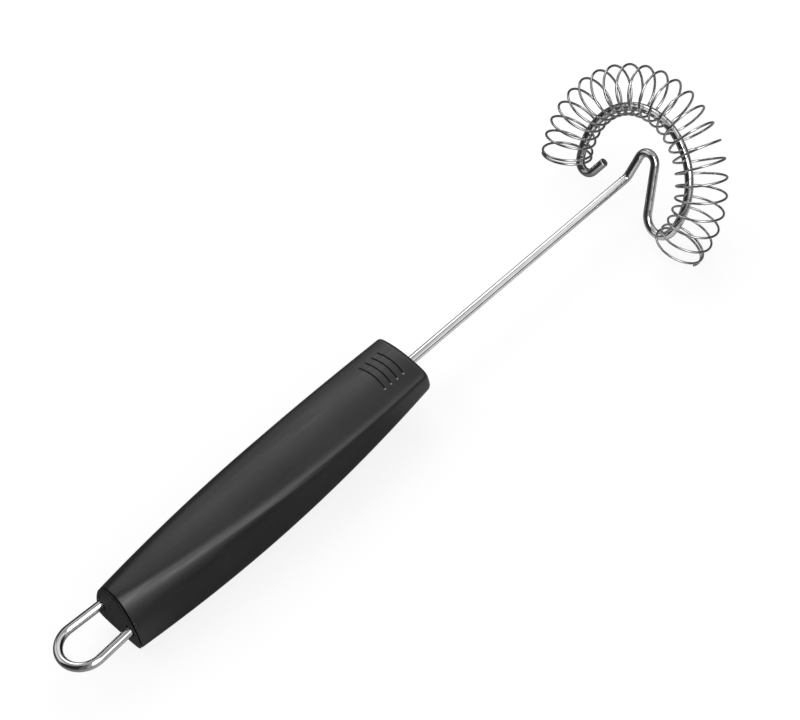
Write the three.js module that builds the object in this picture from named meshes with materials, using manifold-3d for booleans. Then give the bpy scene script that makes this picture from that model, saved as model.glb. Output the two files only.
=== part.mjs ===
// Spring-head sauce whisk: a moulded handle with a hanging loop, and one bent wire that carries a coil spring.
// Millimetres. The origin is on the flat rear end of the handle, on the axis of the straight shaft.
// +X runs along the shaft towards the whisking head, +Z is up out of the handle's flat side, +Y is left.

import * as THREE from 'three';
import { mergeVertices } from 'three/addons/utils/BufferGeometryUtils.js';
import Module from 'manifold-3d';

const wasm = await Module();
wasm.setup();

// Wires
const WIRE_D = 3.0;
const COIL_WIRE_D = 0.8;
const LOOP_WIRE_D = 3.1;

// Handle, overall
const HANDLE_LENGTH = 125.6;
const CAP_THICKNESS = 1.0;
const PARTING_GAP = 0.35;
const REAR_FACE_TILT_DEG = 5.0;
const FIT_CLEARANCE = 0.3;

// Handle outline: half widths at the rear, the middle and the front
const REAR_HALF_WIDTH = 10.75;
const MIDDLE_HALF_WIDTH = 13.25;
const FRONT_HALF_WIDTH = 11.8;

// Handle outline: height of the upper side above the shaft axis, and depth of the belly below it
const REAR_TOP = 9.4;
const MIDDLE_TOP = 8.0;
const FRONT_TOP = 7.1;
const REAR_DEPTH = 10.6;
const MIDDLE_DEPTH = 13.35;
const FRONT_DEPTH = 4.75;

// The flat on the upper side: half widths, and its crown where it is widest
const REAR_FLAT = 1.6;
const MIDDLE_FLAT = 9.3;
const FRONT_FLAT = 11.7;
const FLAT_CROWN = 1.9;

// Height of the widest line, and how square the flanks and the belly are (2 is an ellipse)
const REAR_WIDEST_Z = -7.9;
const FRONT_WIDEST_Z = 1.9;
const REAR_FLANK_POWER = 1.7;
const FRONT_FLANK_POWER = 2.85;
const REAR_BELLY_POWER = 3.9;
const FRONT_BELLY_POWER = 3.55;
const FRONT_EDGE_RADIUS = 1.5;
const CAP_EDGE_RADIUS = 0.7;

// Grip grooves across the front of the flat
const GROOVE_COUNT = 4;
const GROOVE_PITCH = 2.68;
const GROOVE_FRONT_SETBACK = 5.3;
const GROOVE_HALF_SPAN = 6.4;
const GROOVE_SAG = 0.75;
const GROOVE_WIDTH = 0.6;
const GROOVE_DEPTH = 0.45;

// Carrier block inside the handle, which holds the shaft and both legs of the hanging loop
const CARRIER_START = 10.0;
const CARRIER_LENGTH = 44.0;
const CARRIER_HALF_WIDTH = 9.2;
const CARRIER_TOP = 2.5;
const CARRIER_BOTTOM = -6.4;
const CARRIER_CORNER = 4.0;
const SPIGOT_HALF_WIDTH = 4.4;
const SPIGOT_TOP = 1.6;
const SPIGOT_BOTTOM = -5.0;
const SPIGOT_CORNER = 1.0;
const TANG_DEPTH = 28.0;
const LEG_DEPTH = 34.0;

// Hanging loop
const LOOP_Z = -2.5;
const LEG_SPACING = 14.7;
const LOOP_REACH = 13.4;
const LOOP_BEND_RADIUS = 8.1;
const LEG_HOLE_CLEARANCE = 0.5;

// Shaft and head
const SHAFT_LENGTH = 101.6;
const HEAD_TILT_DEG = 54.7;
const KINK_BEND_RADIUS = 3.4;
const KINK_BACK = 1.5;
const KINK_SIDE = 2.4;
const RING_RADIUS = 23.5;
const HAIRPIN_RADIUS = 3.6;
const HAIRPIN_AHEAD = 6.7;
const HAIRPIN_SIDE = -3.05;
const RETURN_BEND_RADIUS = 6.0;
const RETURN_BEND_DEG = -113.1;
const HOOK_RADIUS = 3.6;
const HOOK_DEG = 104.3;
const HOOK_SWEEP_DEG = 136.0;
const HOOK_TAIL = 6.0;

// Coil spring round the ring
const COIL_CENTRE_RADIUS = 29.2;
const COIL_LOOP_RADIUS = 8.35;
const COIL_OFFSET = 0.57;
const COIL_OPEN_TURNS = 22;
const COIL_PITCH_DEG = 9.98;
const COIL_CLOSED_TURNS = 1;
const COIL_CLOSED_PITCH_DEG = 2.1;
const COIL_START_DEG = 102.3;
const COIL_STEPS = 20;
const COIL_SIDES = 6;

// How the last turns settle: crowded, leaning, and turned about the ring's normal at the hook and at the bend
const COIL_SETTLE_TURNS = 1.2;
const COIL_HOOK_CROWDING_DEG = 3.8;
const COIL_HOOK_LEAN_DEG = 5.9;
const COIL_HOOK_FAN_DEG = -2.0;
const COIL_BEND_FAN_DEG = 3.0;

// Facets
const WIRE_SIDES = 12;
const BODY_STATIONS = 12;
const QUADRANT_STEPS = 7;
const FLAT_STEPS = 4;

const rad = THREE.MathUtils.degToRad;

const blackPlastic = () => new THREE.MeshStandardMaterial({ color: 0x1c1c1d, roughness: 0.5, metalness: 0.0 });
const innerPlastic = () => new THREE.MeshStandardMaterial({ color: 0x2a2a2c, roughness: 0.6, metalness: 0.0 });
const polishedSteel = () => new THREE.MeshStandardMaterial({ color: 0xc9cacc, roughness: 0.18, metalness: 1.0 });

// Solids and booleans

function toSolid(geometry) {
  const bare = geometry.clone();
  bare.deleteAttribute('normal');
  bare.deleteAttribute('uv');
  const merged = mergeVertices(bare, 1e-5);
  const vertProperties = new Float32Array(merged.attributes.position.array);
  const triVerts = new Uint32Array(merged.index.array);
  return new wasm.Manifold(new wasm.Mesh({ numProp: 3, vertProperties, triVerts }));
}

function toGeometry(solid) {
  const mesh = solid.getMesh();
  const geometry = new THREE.BufferGeometry();
  const count = mesh.vertProperties.length / mesh.numProp;
  const positions = new Float32Array(count * 3);
  for (let i = 0; i < count; i++) {
    for (let k = 0; k < 3; k++) {
      positions[3 * i + k] = mesh.vertProperties[mesh.numProp * i + k];
    }
  }
  geometry.setAttribute('position', new THREE.BufferAttribute(positions, 3));
  geometry.setIndex(new THREE.BufferAttribute(new Uint32Array(mesh.triVerts), 1));
  geometry.computeVertexNormals();
  return geometry;
}

function cutAll(geometry, cutters) {
  let solid = toSolid(geometry);
  for (const cutter of cutters) {
    solid = solid.subtract(toSolid(cutter));
  }
  return toGeometry(solid);
}

function joinAll(geometries) {
  let solid = toSolid(geometries[0]);
  for (const geometry of geometries.slice(1)) {
    solid = solid.add(toSolid(geometry));
  }
  return toGeometry(solid);
}

// A closed skin over equal rings of points, each ring counterclockwise seen against the direction of travel
function loft(rings) {
  const n = rings[0].length;
  const points = rings.flat();
  const index = [];
  for (let r = 0; r + 1 < rings.length; r++) {
    for (let i = 0; i < n; i++) {
      const a = r * n + i;
      const b = r * n + (i + 1) % n;
      index.push(a, b, b + n, a, b + n, a + n);
    }
  }
  const addCap = (start, reversed) => {
    const ring = points.slice(start, start + n);
    const centre = ring.reduce((sum, p) => sum.add(p), new THREE.Vector3()).divideScalar(n);
    points.push(centre);
    const c = points.length - 1;
    for (let i = 0; i < n; i++) {
      const a = start + i;
      const b = start + (i + 1) % n;
      index.push(...(reversed ? [c, b, a] : [c, a, b]));
    }
  };
  addCap(0, true);
  addCap((rings.length - 1) * n, false);
  const geometry = new THREE.BufferGeometry().setFromPoints(points);
  geometry.setIndex(index);
  geometry.computeVertexNormals();
  return geometry;
}

// Handle outline

function throughThree(rear, middle, front, t) {
  return rear * (1 - t) * (1 - 2 * t) + middle * 4 * t * (1 - t) + front * t * (2 * t - 1);
}

function bodyAt(x) {
  const t = x / HANDLE_LENGTH;
  const flat = throughThree(REAR_FLAT, MIDDLE_FLAT, FRONT_FLAT, t);
  return {
    halfWidth: throughThree(REAR_HALF_WIDTH, MIDDLE_HALF_WIDTH, FRONT_HALF_WIDTH, t),
    top: throughThree(REAR_TOP, MIDDLE_TOP, FRONT_TOP, t),
    bottom: -throughThree(REAR_DEPTH, MIDDLE_DEPTH, FRONT_DEPTH, t),
    flat,
    crown: FLAT_CROWN * (flat / FRONT_FLAT) ** 2,
    widest: THREE.MathUtils.lerp(REAR_WIDEST_Z, FRONT_WIDEST_Z, t),
    flank: THREE.MathUtils.lerp(REAR_FLANK_POWER, FRONT_FLANK_POWER, t),
    belly: THREE.MathUtils.lerp(REAR_BELLY_POWER, FRONT_BELLY_POWER, t),
  };
}

// One ring of the outline at x, drawn in by inset, from the belly up the left side and down the right
function outlineAt(x, inset) {
  const body = bodyAt(x);
  const halfWidth = body.halfWidth - inset;
  const flat = Math.max(body.flat - inset, 0.4);
  const top = body.top - inset;
  const edge = top - body.crown;
  const bottom = body.bottom + inset;
  const left = [];
  for (let i = 0; i <= QUADRANT_STEPS; i++) {
    const a = (Math.PI / 2) * (1 - i / QUADRANT_STEPS);
    const y = halfWidth * Math.cos(a) ** (2 / body.belly);
    const z = body.widest - (body.widest - bottom) * Math.sin(a) ** (2 / body.belly);
    left.push([i === 0 ? 0 : y, z]);
  }
  for (let i = 1; i <= QUADRANT_STEPS; i++) {
    const a = (Math.PI / 2) * (i / QUADRANT_STEPS);
    const y = flat + (halfWidth - flat) * Math.max(Math.cos(a), 0) ** (2 / body.flank);
    const z = body.widest + (edge - body.widest) * Math.sin(a) ** (2 / body.flank);
    left.push([i === QUADRANT_STEPS ? flat : y, z]);
  }
  for (let i = 1; i <= FLAT_STEPS; i++) {
    const s = 1 - i / FLAT_STEPS;
    left.push([flat * s, top - body.crown * s * s]);
  }
  const right = left.slice(1, -1).reverse().map(([y, z]) => [-y, z]);
  return left.concat(right);
}

function ringAt(x, inset) {
  return outlineAt(x, inset).map(([y, z]) => new THREE.Vector3(x, y, z));
}

// A ring on a plane that leans forward with height, as the rear face of the handle does
const rearLean = Math.tan(rad(REAR_FACE_TILT_DEG));

function leaningRing(x, inset) {
  return outlineAt(x, inset).map(([, nominal], i) => {
    const [y, z] = outlineAt(x + rearLean * nominal, inset)[i];
    return new THREE.Vector3(x + rearLean * z, y, z);
  });
}

function handleSkin(start) {
  const rings = [leaningRing(start, 0)];
  const straightEnd = HANDLE_LENGTH - FRONT_EDGE_RADIUS;
  for (let i = 1; i <= BODY_STATIONS; i++) {
    rings.push(ringAt(THREE.MathUtils.lerp(start, straightEnd, i / BODY_STATIONS), 0));
  }
  for (const deg of [30, 60, 90]) {
    const x = straightEnd + FRONT_EDGE_RADIUS * Math.sin(rad(deg));
    rings.push(ringAt(x, FRONT_EDGE_RADIUS * (1 - Math.cos(rad(deg)))));
  }
  return loft(rings);
}

// A prism along X with a section given in (y, z)
function prismX(section, x0, x1) {
  const shape = new THREE.Shape(section.map(([y, z]) => new THREE.Vector2(y, z)));
  const geometry = new THREE.ExtrudeGeometry(shape, { depth: x1 - x0, steps: 1, bevelEnabled: false });
  const turn = new THREE.Matrix4().makeBasis(
    new THREE.Vector3(0, 1, 0),
    new THREE.Vector3(0, 0, 1),
    new THREE.Vector3(1, 0, 0),
  );
  geometry.applyMatrix4(turn);
  geometry.translate(x0, 0, 0);
  return geometry;
}

function roundedSection(halfWidth, bottom, top, corner) {
  const section = [];
  const centres = [
    [halfWidth - corner, top - corner, 0],
    [-halfWidth + corner, top - corner, 90],
    [-halfWidth + corner, bottom + corner, 180],
    [halfWidth - corner, bottom + corner, 270],
  ];
  for (const [cy, cz, from] of centres) {
    for (let i = 0; i <= 4; i++) {
      const a = rad(from + 22.5 * i);
      section.push([cy + corner * Math.cos(a), cz + corner * Math.sin(a)]);
    }
  }
  return section;
}

// Wires: a path whose steps fall on its own points, and the closed round tube along it

class WirePath extends THREE.Curve {
  constructor(points) {
    super();
    this.points = points;
  }

  getPoint(t, target = new THREE.Vector3()) {
    const last = this.points.length - 1;
    return target.copy(this.points[Math.round(t * last)]);
  }

  getPointAt(u, target) {
    return this.getPoint(u, target);
  }

  getTangentAt(u, target = new THREE.Vector3()) {
    const last = this.points.length - 1;
    const i = Math.round(u * last);
    const into = new THREE.Vector3().subVectors(this.points[Math.max(i, 1)], this.points[Math.max(i, 1) - 1]);
    const out = new THREE.Vector3().subVectors(this.points[Math.min(i + 1, last)], this.points[Math.min(i + 1, last) - 1]);
    return target.copy(into.normalize().add(out.normalize())).normalize();
  }
}

function wireTube(points, diameter) {
  const section = [];
  for (let i = 0; i < WIRE_SIDES; i++) {
    const a = (2 * Math.PI * i) / WIRE_SIDES;
    section.push(new THREE.Vector2((diameter / 2) * Math.cos(a), (diameter / 2) * Math.sin(a)));
  }
  return new THREE.ExtrudeGeometry(new THREE.Shape(section), {
    steps: points.length - 1,
    extrudePath: new WirePath(points),
    bevelEnabled: false,
  });
}

// Plane work for the bent wires: points are [a, b] in the plane of the bend

const heading = (angle) => [Math.cos(angle), Math.sin(angle)];
const leftOf = (angle) => [-Math.sin(angle), Math.cos(angle)];
const shifted = (p, d, k) => [p[0] + d[0] * k, p[1] + d[1] * k];

// Points on an arc about a centre, from one angle through a signed sweep
function arcPoints(centre, radius, from, sweep, stepDeg) {
  const steps = Math.max(2, Math.ceil(Math.abs(sweep) / rad(stepDeg)));
  const list = [];
  for (let i = 0; i <= steps; i++) {
    const a = from + (sweep * i) / steps;
    list.push([centre[0] + radius * Math.cos(a), centre[1] + radius * Math.sin(a)]);
  }
  return list;
}

// Direction of the line from a point that then follows a circle: side is +1 when the circle lies on the left
function headingToCircle(point, centre, radius, side) {
  const dx = centre[0] - point[0];
  const dy = centre[1] - point[1];
  return Math.atan2(dy, dx) - side * Math.asin(radius / Math.hypot(dx, dy));
}

// Hanging loop

const legEntry = [0, LEG_SPACING / 2];
const bendCentre = [-LOOP_REACH, 0];
const legHeading = headingToCircle(legEntry, bendCentre, LOOP_BEND_RADIUS, 1);

function loopPoints() {
  const inner = shifted(legEntry, heading(legHeading), -LEG_DEPTH);
  const from = legHeading - Math.PI / 2;
  const sweep = THREE.MathUtils.euclideanModulo(2 * (Math.PI - from), 2 * Math.PI);
  const bend = arcPoints(bendCentre, LOOP_BEND_RADIUS, from, sweep, 13);
  const list = [inner, ...bend, [inner[0], -inner[1]]];
  return list.map(([x, y]) => new THREE.Vector3(x, y, LOOP_Z));
}

function legHole(side, clearance) {
  const outer = shifted(legEntry, heading(legHeading), 2 * LOOP_WIRE_D);
  const inner = shifted(legEntry, heading(legHeading), -(LEG_DEPTH + clearance));
  const ends = [outer, inner].map(([x, y]) => new THREE.Vector3(x, side * y, LOOP_Z));
  return wireTube(ends, LOOP_WIRE_D + 2 * clearance);
}

// Shaft and head: the ring lies in a tilted plane through the kink at the end of the shaft

const kink = new THREE.Vector3(HANDLE_LENGTH + SHAFT_LENGTH, 0, 0);
const ringAhead = new THREE.Vector3(Math.cos(rad(HEAD_TILT_DEG)), 0, Math.sin(rad(HEAD_TILT_DEG)));
const ringSide = new THREE.Vector3(0, 1, 0);
const ringNormal = new THREE.Vector3().crossVectors(ringAhead, ringSide);
const ringCentre = kink.clone().addScaledVector(ringAhead, KINK_BACK).addScaledVector(ringSide, -KINK_SIDE);
const inRing = ([a, b]) => ringCentre.clone().addScaledVector(ringAhead, a).addScaledVector(ringSide, b);

// The bend between the shaft and the first limb, which leaves the kink along a direction in the ring plane
function kinkPoints(limbDirection) {
  const shaftDirection = new THREE.Vector3(1, 0, 0);
  const turn = shaftDirection.angleTo(limbDirection);
  const reach = KINK_BEND_RADIUS * Math.tan(turn / 2);
  const start = kink.clone().addScaledVector(shaftDirection, -reach);
  const inward = limbDirection.clone().addScaledVector(shaftDirection, -Math.cos(turn)).normalize();
  const list = [];
  for (let i = 0; i <= 5; i++) {
    const a = (turn * i) / 5;
    const p = start.clone().addScaledVector(shaftDirection, KINK_BEND_RADIUS * Math.sin(a));
    list.push(p.addScaledVector(inward, KINK_BEND_RADIUS * (1 - Math.cos(a))));
  }
  return list;
}

function whiskPoints() {
  const start = [-KINK_BACK, KINK_SIDE];
  const hairpin = [HAIRPIN_AHEAD, HAIRPIN_SIDE];
  const firstLimb = headingToCircle(start, hairpin, HAIRPIN_RADIUS, -1);

  const returnAngle = rad(RETURN_BEND_DEG);
  const returnCentre = shifted([0, 0], heading(returnAngle), RING_RADIUS - RETURN_BEND_RADIUS);
  const dx = returnCentre[0] - hairpin[0];
  const dy = returnCentre[1] - hairpin[1];
  const crossing = Math.asin((HAIRPIN_RADIUS + RETURN_BEND_RADIUS) / Math.hypot(dx, dy));
  const secondLimb = Math.atan2(dy, dx) - crossing - 2 * Math.PI;

  const hookAngle = rad(HOOK_DEG);
  const hookCentre = shifted([0, 0], heading(hookAngle), RING_RADIUS - HOOK_RADIUS);
  const hookSweep = rad(HOOK_SWEEP_DEG);
  const tailHeading = hookAngle + Math.PI / 2 + hookSweep;

  const turned = (angle) => THREE.MathUtils.euclideanModulo(angle, 2 * Math.PI);
  const hairpinSweep = -turned(firstLimb - secondLimb);
  const returnFrom = secondLimb - Math.PI / 2;
  const returnSweep = turned(returnAngle - returnFrom);
  const ringSweep = turned(hookAngle - returnAngle);

  const hook = arcPoints(hookCentre, HOOK_RADIUS, hookAngle, hookSweep, 16);
  const flat = [
    ...arcPoints(hairpin, HAIRPIN_RADIUS, firstLimb + Math.PI / 2, hairpinSweep, 20),
    ...arcPoints(returnCentre, RETURN_BEND_RADIUS, returnFrom, returnSweep, 16),
    ...arcPoints([0, 0], RING_RADIUS, returnAngle, ringSweep, 9).slice(1),
    ...hook.slice(1),
    shifted(hook[hook.length - 1], heading(tailHeading), HOOK_TAIL),
  ].map(inRing);

  const limbDirection = ringAhead.clone().multiplyScalar(Math.cos(firstLimb));
  limbDirection.addScaledVector(ringSide, Math.sin(firstLimb));
  const tangEnd = new THREE.Vector3(CARRIER_START + CARRIER_LENGTH - TANG_DEPTH, 0, 0);
  return [tangEnd, ...kinkPoints(limbDirection), ...flat];
}

// Coil spring: one wire wound round a circle, with a closed turn at each end

function coilAngle(turn) {
  const closedStart = Math.min(Math.max(-turn, 0), COIL_CLOSED_TURNS);
  const open = Math.min(Math.max(turn, 0), COIL_OPEN_TURNS);
  const closedEnd = Math.max(turn - COIL_OPEN_TURNS, 0);
  const along = open * COIL_PITCH_DEG + (closedEnd - closedStart) * COIL_CLOSED_PITCH_DEG;
  const nearHook = Math.exp(-open / COIL_SETTLE_TURNS);
  const nearBend = Math.exp(-(COIL_OPEN_TURNS - open) / COIL_SETTLE_TURNS);
  const wind = 2 * Math.PI * turn;
  const reach = COIL_CENTRE_RADIUS + COIL_LOOP_RADIUS * Math.cos(wind);
  const lean = COIL_HOOK_LEAN_DEG * nearHook * Math.sin(wind) * (COIL_LOOP_RADIUS / reach);
  const fan = (COIL_HOOK_FAN_DEG * nearHook + COIL_BEND_FAN_DEG * nearBend) * Math.cos(wind);
  return rad(COIL_START_DEG + COIL_HOOK_CROWDING_DEG * (1 - nearHook) - along + lean + fan);
}

function coilFrame(turn) {
  const a = coilAngle(turn);
  const wind = 2 * Math.PI * turn;
  const outward = ringAhead.clone().multiplyScalar(Math.cos(a)).addScaledVector(ringSide, Math.sin(a));
  const normal = outward.clone().multiplyScalar(Math.cos(wind)).addScaledVector(ringNormal, Math.sin(wind));
  const point = ringCentre.clone().addScaledVector(outward, COIL_CENTRE_RADIUS);
  point.addScaledVector(ringNormal, COIL_OFFSET).addScaledVector(normal, COIL_LOOP_RADIUS);
  return { point, normal };
}

function coilFrames() {
  const turns = COIL_OPEN_TURNS + 2 * COIL_CLOSED_TURNS;
  const steps = turns * COIL_STEPS;
  const frames = [];
  for (let i = 0; i <= steps; i++) {
    frames.push(coilFrame(-COIL_CLOSED_TURNS + (turns * i) / steps));
  }
  const runOut = (from, towards) => {
    const direction = new THREE.Vector3().subVectors(from.point, towards.point).normalize();
    return { point: from.point.clone().addScaledVector(direction, COIL_WIRE_D), normal: from.normal.clone() };
  };
  frames.unshift(runOut(frames[0], frames[1]));
  frames.push(runOut(frames[frames.length - 1], frames[frames.length - 2]));
  return frames;
}

function coilGeometry(frames) {
  const rings = frames.map((frame, i) => {
    const before = frames[Math.max(i - 1, 0)].point;
    const after = frames[Math.min(i + 1, frames.length - 1)].point;
    const tangent = new THREE.Vector3().subVectors(after, before).normalize();
    const normal = frame.normal.clone().addScaledVector(tangent, -frame.normal.dot(tangent)).normalize();
    const binormal = new THREE.Vector3().crossVectors(tangent, normal);
    const ring = [];
    for (let k = 0; k < COIL_SIDES; k++) {
      const a = (2 * Math.PI * k) / COIL_SIDES;
      const p = frame.point.clone().addScaledVector(normal, (COIL_WIRE_D / 2) * Math.cos(a));
      ring.push(p.addScaledVector(binormal, (COIL_WIRE_D / 2) * Math.sin(a)));
    }
    return ring;
  });
  return loft(rings);
}

// Least distance between surfaces of stretches of the coil at least half a turn apart
function leastCoilGap(frames) {
  const apart = Math.floor(COIL_STEPS / 2);
  const near = new THREE.Vector3();
  let least = Infinity;
  for (let i = 0; i < frames.length; i++) {
    for (let j = i + apart; j + 1 < frames.length; j++) {
      const span = new THREE.Line3(frames[j].point, frames[j + 1].point);
      span.closestPointToPoint(frames[i].point, true, near);
      least = Math.min(least, near.distanceTo(frames[i].point));
    }
  }
  return least - COIL_WIRE_D;
}

// Least distance between the surfaces of the coil and the wire inside it
function leastRingGap(frames, points) {
  const near = new THREE.Vector3();
  let least = Infinity;
  for (const frame of frames) {
    for (let j = 0; j + 1 < points.length; j++) {
      new THREE.Line3(points[j], points[j + 1]).closestPointToPoint(frame.point, true, near);
      least = Math.min(least, near.distanceTo(frame.point));
    }
  }
  return least - (COIL_WIRE_D + WIRE_D) / 2;
}

// Handle pieces

const shellStart = CAP_THICKNESS + PARTING_GAP;
const pocketEnd = CARRIER_START + CARRIER_LENGTH + FIT_CLEARANCE;

function grooveCutter(i) {
  const radius = (GROOVE_HALF_SPAN ** 2 + GROOVE_SAG ** 2) / (2 * GROOVE_SAG);
  const ends = HANDLE_LENGTH - GROOVE_FRONT_SETBACK - i * GROOVE_PITCH;
  const centre = [ends + GROOVE_SAG - radius, 0];
  const half = Math.asin(GROOVE_HALF_SPAN / radius);
  const outer = arcPoints(centre, radius + GROOVE_WIDTH / 2, -half, 2 * half, 4);
  const inner = arcPoints(centre, radius - GROOVE_WIDTH / 2, half, -2 * half, 4);
  const body = bodyAt(ends);
  const surface = body.top - body.crown * (GROOVE_HALF_SPAN / body.flat) ** 2;
  const shape = new THREE.Shape([...outer, ...inner].map(([x, y]) => new THREE.Vector2(x, y)));
  const geometry = new THREE.ExtrudeGeometry(shape, { depth: body.top, steps: 1, bevelEnabled: false });
  geometry.translate(0, 0, surface - GROOVE_DEPTH);
  return geometry;
}

function shellGeometry() {
  const clearance = FIT_CLEARANCE;
  const pocketHalfWidth = CARRIER_HALF_WIDTH + clearance;
  const pocketCorner = CARRIER_CORNER + clearance;
  const pocket = roundedSection(pocketHalfWidth, CARRIER_BOTTOM - clearance, CARRIER_TOP + clearance, pocketCorner);
  const boreEnds = [new THREE.Vector3(pocketEnd - 1, 0, 0), new THREE.Vector3(HANDLE_LENGTH + 1, 0, 0)];
  const pocketStart = shellStart + rearLean * (CARRIER_BOTTOM - clearance) - 1;
  const cutters = [
    prismX(pocket, pocketStart, pocketEnd),
    wireTube(boreEnds, WIRE_D + 2 * clearance),
  ];
  for (let i = 0; i < GROOVE_COUNT; i++) {
    cutters.push(grooveCutter(i));
  }
  return cutAll(handleSkin(shellStart), cutters);
}

function capGeometry() {
  const rings = [90, 45, 0].map((deg) => {
    const x = CAP_EDGE_RADIUS * (1 - Math.sin(rad(deg)));
    return leaningRing(x, CAP_EDGE_RADIUS * (1 - Math.cos(rad(deg))));
  });
  rings.push(leaningRing(CAP_THICKNESS, 0));
  const spigotEnd = CARRIER_START - FIT_CLEARANCE;
  const section = roundedSection(SPIGOT_HALF_WIDTH, SPIGOT_BOTTOM, SPIGOT_TOP, SPIGOT_CORNER);
  const spigot = loft([
    section.map(([y, z]) => new THREE.Vector3(CAP_THICKNESS / 2 + rearLean * z, y, z)),
    section.map(([y, z]) => new THREE.Vector3(spigotEnd, y, z)),
  ]);
  const whole = joinAll([loft(rings), spigot]);
  return cutAll(whole, [legHole(1, LEG_HOLE_CLEARANCE), legHole(-1, LEG_HOLE_CLEARANCE)]);
}

function carrierGeometry() {
  const section = roundedSection(CARRIER_HALF_WIDTH, CARRIER_BOTTOM, CARRIER_TOP, CARRIER_CORNER);
  const end = CARRIER_START + CARRIER_LENGTH;
  const tangEnds = [
    new THREE.Vector3(end - TANG_DEPTH - FIT_CLEARANCE, 0, 0),
    new THREE.Vector3(end + 1, 0, 0),
  ];
  return cutAll(prismX(section, CARRIER_START, end), [
    wireTube(tangEnds, WIRE_D + 2 * FIT_CLEARANCE),
    legHole(1, FIT_CLEARANCE),
    legHole(-1, FIT_CLEARANCE),
  ]);
}

// Assembly

const frames = coilFrames();
const wirePoints = whiskPoints();
console.log('coil spring, least gap to itself: ' + leastCoilGap(frames).toFixed(2) + ' mm');
console.log('coil spring, least gap to the ring wire: ' + leastRingGap(frames, wirePoints).toFixed(2) + ' mm');

function named(name, geometry, material) {
  const mesh = new THREE.Mesh(geometry, material);
  mesh.name = name;
  return mesh;
}

const handle = new THREE.Group();
handle.add(named('handle_shell', shellGeometry(), blackPlastic()));
handle.add(named('end_cap', capGeometry(), blackPlastic()));
handle.add(named('wire_carrier', carrierGeometry(), innerPlastic()));
handle.add(named('hanging_loop', wireTube(loopPoints(), LOOP_WIRE_D), polishedSteel()));

const head = new THREE.Group();
head.add(named('whisk_wire', wireTube(wirePoints, WIRE_D), polishedSteel()));
head.add(named('coil_spring', coilGeometry(frames), polishedSteel()));

const whisk = new THREE.Group();
whisk.add(handle, head);

export default whisk;
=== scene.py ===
"""Looks of a spring-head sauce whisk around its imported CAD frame.

It has a moulded handle, two bent wires and a coil spring. Outlines and paths are worked out in millimetres
and put into the meshes in metres."""

import math

import bpy
import numpy as np
from bpy.props import FloatProperty, FloatVectorProperty, IntProperty, PointerProperty
from mathutils import Matrix, Vector


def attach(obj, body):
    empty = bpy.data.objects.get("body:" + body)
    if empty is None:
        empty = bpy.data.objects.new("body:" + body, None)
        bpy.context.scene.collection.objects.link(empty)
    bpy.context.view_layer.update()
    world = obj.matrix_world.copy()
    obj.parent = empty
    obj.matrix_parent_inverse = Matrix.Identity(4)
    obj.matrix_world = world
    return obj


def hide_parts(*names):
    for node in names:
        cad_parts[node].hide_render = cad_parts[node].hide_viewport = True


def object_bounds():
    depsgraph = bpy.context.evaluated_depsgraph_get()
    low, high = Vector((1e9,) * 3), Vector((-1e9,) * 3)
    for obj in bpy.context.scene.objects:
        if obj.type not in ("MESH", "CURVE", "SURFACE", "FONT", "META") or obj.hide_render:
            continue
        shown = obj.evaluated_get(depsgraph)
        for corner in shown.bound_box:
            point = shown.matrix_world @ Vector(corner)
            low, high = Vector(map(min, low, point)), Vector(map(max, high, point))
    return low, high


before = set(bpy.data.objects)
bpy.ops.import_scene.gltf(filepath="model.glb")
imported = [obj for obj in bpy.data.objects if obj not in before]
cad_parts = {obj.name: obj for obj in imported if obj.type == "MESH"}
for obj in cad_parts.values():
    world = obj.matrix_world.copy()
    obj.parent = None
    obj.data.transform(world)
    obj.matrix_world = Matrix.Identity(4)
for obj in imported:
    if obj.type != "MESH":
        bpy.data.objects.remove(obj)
CAD_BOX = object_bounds()

bl_info = {
    "name": "Sauce whisk",
    "version": (1, 0, 0),
    "blender": (4, 5, 0),
    "location": "3D View > Sidebar > Whisk",
    "description": "Builds the visible pieces of a spring-head sauce whisk on its CAD frame",
    "category": "Object",
}

MM = 0.001
TURN = 2 * math.pi


# Settings that a user would change


def number(name, description, default, **kind):
    """A number with its limits and unit."""
    return FloatProperty(name=name, description=description, default=default, **kind)


def length(name, description, default_mm):
    """A size in metres, given in millimetres."""
    kind = {"min": 0.0, "precision": 5, "subtype": "DISTANCE", "unit": "LENGTH"}
    return number(name, description, default_mm * MM, **kind)


def angle(name, description, default_deg):
    """An angle, given in degrees."""
    return number(name, description, math.radians(default_deg), subtype="ANGLE", unit="ROTATION")


def share(name, description, default):
    """A plain factor from 0 to 1."""
    return number(name, description, default, min=0.0, max=1.0, subtype="FACTOR")


def colour(name, description, default):
    """A linear colour."""
    kind = {"size": 3, "min": 0.0, "max": 1.0, "subtype": "COLOR"}
    return FloatVectorProperty(name=name, description=description, default=default, **kind)


class WhiskHandleSettings(bpy.types.PropertyGroup):
    """Outline, grooves and finish of the moulded handle."""

    long: length("Length", "Handle from its rear face to its front face", 125.6)
    front_edge: length("Front edge radius", "Rounding between the sides and the front face", 1.5)
    rear_ridge: length("Rear ridge rounding", "How softly the flat runs into the flanks at the rear", 1.1)
    front_ridge: length("Front ridge rounding", "How softly the flat runs into the flanks at the front", 1.4)
    groove_pitch: length("Groove pitch", "Distance from one grip groove to the next", 2.68)
    groove_depth: length("Groove depth", "Depth of the grip grooves", 0.42)
    groove_width: length("Groove width", "Width of the grip grooves", 0.5)
    groove_count: IntProperty(name="Grooves", description="Number of grip grooves", default=4, min=0, max=8)
    black: colour("Plastic", "Colour of the moulded plastic", (0.0115, 0.0115, 0.012))
    roughness: share("Roughness", "Roughness of the moulded plastic", 0.36)
    cap_roughness: share("Cap roughness", "Roughness of the rear plate", 0.52)


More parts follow.
